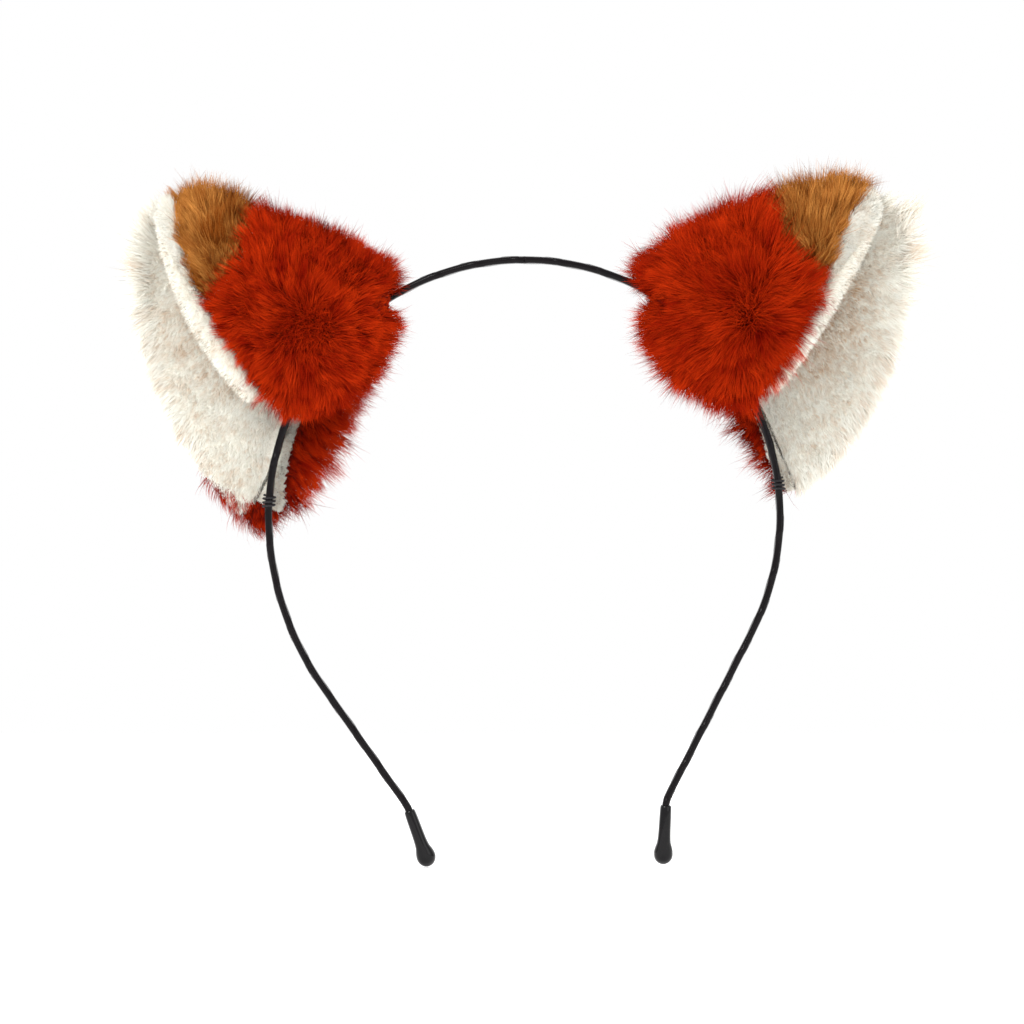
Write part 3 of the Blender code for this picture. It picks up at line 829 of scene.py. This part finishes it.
def cream_over(name, side, cloth, chosen, wanted, comb, rng):
    """The lining's cream pile where it is turned over the edge of a fur cloth.

    A turned edge that would hold hardly any fibres gets no pile.
    """
    roots, ups = scatter_roots(cloth, chosen, turned_fibres, rng)
    kept = wanted(roots)
    roots, ups = roots[kept], ups[kept]
    count = len(roots)
    if count < fewest_turned:
        return
    comb = comb + wander(roots, turned_swirl, rng) * turned_sway
    clear = 0.4 + 0.6 * smooth_rise(near_band, off_band, ears[side].past_band(roots)[1])
    length = turned_length * rng.uniform(0.7, 1.15, count) * clear
    tone = strand_tones(roots, *cream_strands, rng)
    pile = grow_pile(name, cream_pile, roots, ups, comb, length, np.full(count, turned_width),
                     cream_lifts, count // cream_lock + 1, turned_pull, tone, rng, ragged=0.15)
    dress(pile, side)


def off_free_edge(roots, ups, ear):
    """Roots that don't look past the ear's free edge, or that lie in its rust fringe."""
    return (ups @ ear.along < 0.2) | (ear.share_along(roots) > ear.fringe)


def brush_front(ear, roots, comb, length, seam):
    """The front flap's comb and hair lengths near its lip and its seam."""
    lip_gap, cream_from = ear.gap_to_lip(roots), ear.lip_widths[0][0]
    near_lip = 1 - smooth_rise(0, lip_fade, lip_gap - lip_clear)
    by_cream = smooth_rise(cream_from, cream_from + 0.1, ear.share_out(roots))
    near_seam = 1 - smooth_rise(seam_near, seam_far, nearest_of(roots, seam)[1])
    near_seam = near_seam * smooth_rise(12 * MM, 18 * MM, lip_gap)
    comb = comb + ear.along * (near_lip * (1 - by_cream) * 0.6)[:, None]
    comb = comb + ear.out * (near_lip * by_cream * 0.5 + near_seam * ear.overlap)[:, None]
    return comb, length * (1 - 0.5 * near_lip * by_cream) * (1 + near_seam * 0.35 * ear.overlap)


def trim_back(ear, roots, ups, past, gap, length):
    """The back flap's hair lengths round the band, at the cut edges and on the lobe."""
    inner = ups[:, 1] < 0
    length = length * np.where(inner, 0.45 + 0.55 * smooth_rise(near_band, off_band, gap), 1.0)
    length = length * np.where(off_free_edge(roots, ups, ear), 1.0, border_trim)
    length = length * np.where(ups[:, 1] > 0.3, back_trim, 1.0)
    return length * np.where((ups @ ear.out < -0.2) & (past > ear.facing), ear.lobe, 1.0)


rust_backing = backing_finish("rust_fur_backing", (0.08, 0.002, 0.0005), (0.16, 0.006, 0.001))
# Both rust strands run from dark roots to bright tips; the dark red-brown roots are painted shade
# deep in the pile.
rust_pile = pile_finish("rust_fur_pile", (0.115, 0.002, 0.0003), (0.255, 0.005, 0.0004),
                        (0.21, 0.004, 0.0004), (0.64, 0.040, 0.003), gloss=0.02)
for side, ear in ears.items():
    rng = np.random.default_rng(31 + SIDES[side])
    cloth, free = fur_cloth("ear_fur_" + side, "rust_cloth_" + side, rust_backing, side)
    dress(cloth, side)
    on_front = np.array([f.center.y < 0 for f in cloth.data.polygons])
    looks_front = np.array([f.normal.y < -0.2 for f in cloth.data.polygons])
    cream_over("hem_pile_" + side, side, cloth, free & ~on_front & looks_front,
               lambda p: (ear.past_band(p)[0] < ear.facing) & (ear.share_along(p) < ear.hem_end),
               ear.along * 0.5 - ear.out * 0.2, rng)
    cream_over("lip_pile_low_" + side, side, cloth, free & on_front, ear.on_lip,
               ear.out * 0.5, rng)
    seam = [v.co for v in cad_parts["tip_seam_" + side].data.vertices]
    for flap, chosen in (("front", free & on_front), ("back", free & ~on_front)):
        roots, ups = scatter_roots(cloth, chosen, rust_fibres, rng)
        past, gap = ear.past_band(roots)
        if flap == "front":
            kept = ~ear.on_lip(roots)
        else:
            hem = (past < ear.facing) & (ear.share_along(roots) < ear.hem_end)
            kept = (ups[:, 1] >= 0) | (off_free_edge(roots, ups, ear) & ~hem)
        roots, ups, past, gap = roots[kept], ups[kept], past[kept], gap[kept]
        count = len(roots)
        heart = ear.rust_centre if flap == "front" else ear.place(*back_heart)
        comb = (roots - heart) * in_front_plane / parting_reach
        comb = comb / np.maximum(np.linalg.norm(comb, axis=1), 1)[:, None]
        if flap == "back":
            outside = (ups[:, 1] > 0.0)[:, None]
            comb = np.where(outside, comb * 0.3 - ear.out * 0.9 - ear.along * 0.1,
                            comb - ear.out * 0.5)
        comb = comb + wander(roots, rust_swirl, rng) * rust_sway + hanging
        length = rust_length[side] * rng.uniform(0.75, 1.05, count)
        exit_gap = np.linalg.norm((roots - ear.upper)[:, [0, 2]], axis=1)
        at_exit = 1 - smooth_rise(near_band, off_band, exit_gap)
        length = length * (1 - 0.75 * at_exit * (1 - smooth_rise(1.5 * MM, 4 * MM, gap)))
        if flap == "front":
            comb, length = brush_front(ear, roots, comb, length, seam)
        else:
            length = trim_back(ear, roots, ups, past, gap, length)
        tone = strand_tones(roots, *rust_strands, rng)
        pile = grow_pile("rust_pile_" + flap + "_" + side, rust_pile, roots, ups, comb, length,
                         np.full(count, rust_width), rust_lifts, count // rust_lock, fur_pull,
                         tone, rng, guard_share=0.12)
        dress(pile, side)


# ---------------------------------------------------------------- brown tips
# The tip is a separate piece of longer golden-brown fur, seamed to the rust and
# brushed towards the point, where its hairs fan out past the cloth.

brown_fibres = 36000
brown_length = 8.6 * MM
brown_width = 0.14 * MM
brown_lifts = (0.62, 0.42, 0.30)
brown_lock = 28
brown_swirl, brown_sway = 9 * MM, 0.3
brown_strands = (0.52, 0.22, 5 * MM, 0.24)
brown_border_trim = 0.2

brown_backing = backing_finish("brown_fur_backing", (0.10, 0.03, 0.004), (0.20, 0.065, 0.01))
brown_pile = pile_finish("brown_fur_pile", (0.12, 0.026, 0.002), (0.24, 0.055, 0.004),
                         (0.26, 0.074, 0.008), (0.76, 0.33, 0.075))
for side, ear in ears.items():
    rng = np.random.default_rng(51 + SIDES[side])
    cloth, free = fur_cloth("ear_tip_fur_" + side, "brown_cloth_" + side, brown_backing, side)
    dress(cloth, side)
    on_front = np.array([f.center.y < 0 for f in cloth.data.polygons])
    cream_over("lip_pile_high_" + side, side, cloth, free & on_front, ear.on_lip,
               ear.out * 0.5, rng)
    roots, ups = scatter_roots(cloth, free, brown_fibres, rng)
    front = roots[:, 1] < 0
    kept = (front & ~ear.on_lip(roots)) | (~front & (ups[:, 1] > 0.15))
    roots, ups, front = roots[kept], ups[kept], front[kept]
    count = len(roots)
    comb = unit((roots - ear.brown_root) * in_front_plane)
    comb = np.where(front[:, None], comb, -ear.out * 0.5 - ear.along * 0.7)
    near_lip = (1 - smooth_rise(7 * MM, 15 * MM, ear.gap_to_lip(roots))) * front
    comb = comb + wander(roots, brown_swirl, rng) * brown_sway
    comb = comb + (ear.out * 0.8 - ear.along * 0.3) * near_lip[:, None]
    seam = [v.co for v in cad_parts["tip_seam_" + side].data.vertices]
    seam_gap, height = nearest_of(roots, seam)[1], ear.share_out(roots)
    near_seam = (1 - smooth_rise(seam_near, seam_far, seam_gap)) * front
    near_tip = smooth_rise(0.85, 1.0, height)
    bordering = ~front & (~off_free_edge(roots, ups, ear) | (height > 0.93))
    length = brown_length * rng.uniform(0.7, 1.05, count)
    length = length * np.where(bordering, brown_border_trim, 1.0)
    length = length * (1 - 0.4 * near_lip) * (1 - 0.3 * near_tip) * (1 - 0.65 * near_seam)
    tone = strand_tones(roots, *brown_strands, rng)
    tone = tone - 0.3 * (1 - smooth_rise(3 * MM, 13 * MM, seam_gap))
    pile = grow_pile("brown_pile_" + side, brown_pile, roots, ups, comb, length,
                     np.full(count, brown_width), brown_lifts, count // brown_lock, fur_pull,
                     tone, rng, ragged=0.5, guard_share=0.1)
    dress(pile, side)
